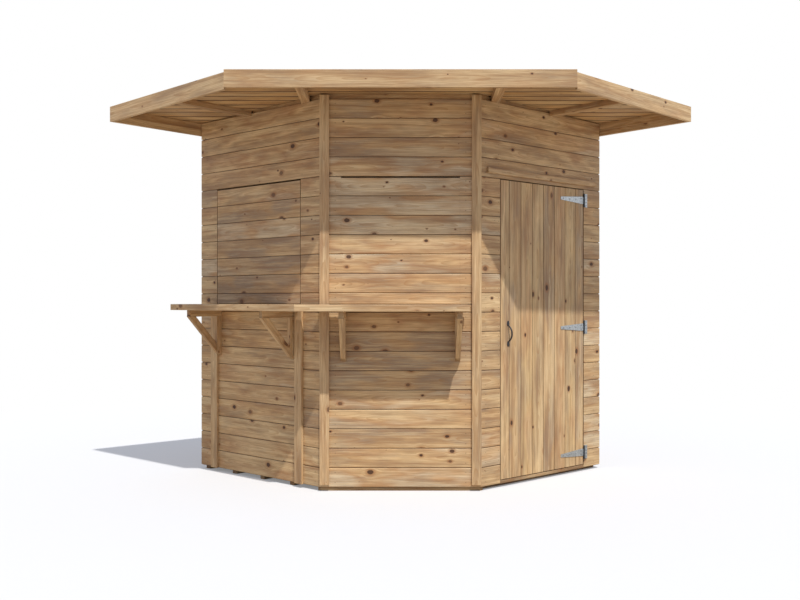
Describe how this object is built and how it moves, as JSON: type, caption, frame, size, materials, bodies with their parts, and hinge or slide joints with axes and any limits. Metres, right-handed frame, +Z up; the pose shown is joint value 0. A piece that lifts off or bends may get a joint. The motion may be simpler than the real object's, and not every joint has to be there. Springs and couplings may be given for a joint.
{
  "type": "outdoor garden bar",
  "caption": "Timber corner garden bar shed with a cut-off front corner, flat overhanging roof, two closed serving hatches, a wrap-round counter on brackets and a side door.",
  "frame": {"origin": "middle of the whole object's box in plan, on the ground", "axes": "+Z up, -Y out of the cut-off front wall, +X towards the door's side, along the roof's longest extent"},
  "size_m": [3.6694, 2.699, 2.3964],
  "materials": {
    "cladding_boards": "planed softwood cladding, clear treated",
    "frame_timber": "sawn softwood framing",
    "planed_timber": "planed softwood",
    "galvanised_steel": "bright zinc plated",
    "black_iron": "black coated",
    "roofing_felt": "mineral faced bitumen felt"
  },
  "bodies": {
    "bar": {"floor_bearers": "frame_timber", "floor_rim": "frame_timber", "floor_boards": "frame_timber", "left_wall": "cladding_boards", "left_wall_frame": "frame_timber", "left_wall_battens": "cladding_boards", "left_hatch": "cladding_boards", "front_wall": "cladding_boards", "front_wall_frame": "frame_timber", "front_hatch": "cladding_boards", "right_near_pier": "cladding_boards", "right_far_pier": "cladding_boards", "right_over_door": "cladding_boards", "right_wall_frame": "frame_timber", "rear_left_wall": "cladding_boards", "rear_left_frame": "frame_timber", "rear_right_wall": "cladding_boards", "rear_right_frame": "frame_timber", "front_corner_trims": "cladding_boards", "rear_corner_trims": "cladding_boards", "counter_left": "planed_timber", "counter_front": "planed_timber", "left_brackets": "planed_timber", "front_brackets": "planed_timber", "roof_joists": "frame_timber", "roof_outriggers": "frame_timber", "roof_rim": "frame_timber", "roof_deck": "cladding_boards", "roof_felt": "roofing_felt", "front_fascia": "planed_timber", "left_fascia": "planed_timber", "right_fascia": "planed_timber", "rear_left_fascia": "planed_timber", "rear_right_fascia": "planed_timber", "door_drip_bar": "planed_timber", "door_threshold": "planed_timber", "hinge_plates": "galvanised_steel"},
    "door": {"door_boards": "cladding_boards", "door_ledges": "frame_timber", "hinge_straps": "galvanised_steel", "door_handle": "black_iron"}
  },
  "joints": [
    {"name": "door_swing", "type": "hinge", "parent": "bar", "child": "door", "pos_m": [1.21552, -0.17073, 0.951], "axis": [0, 0, 1], "range_deg": [0, 165]}
  ]
}
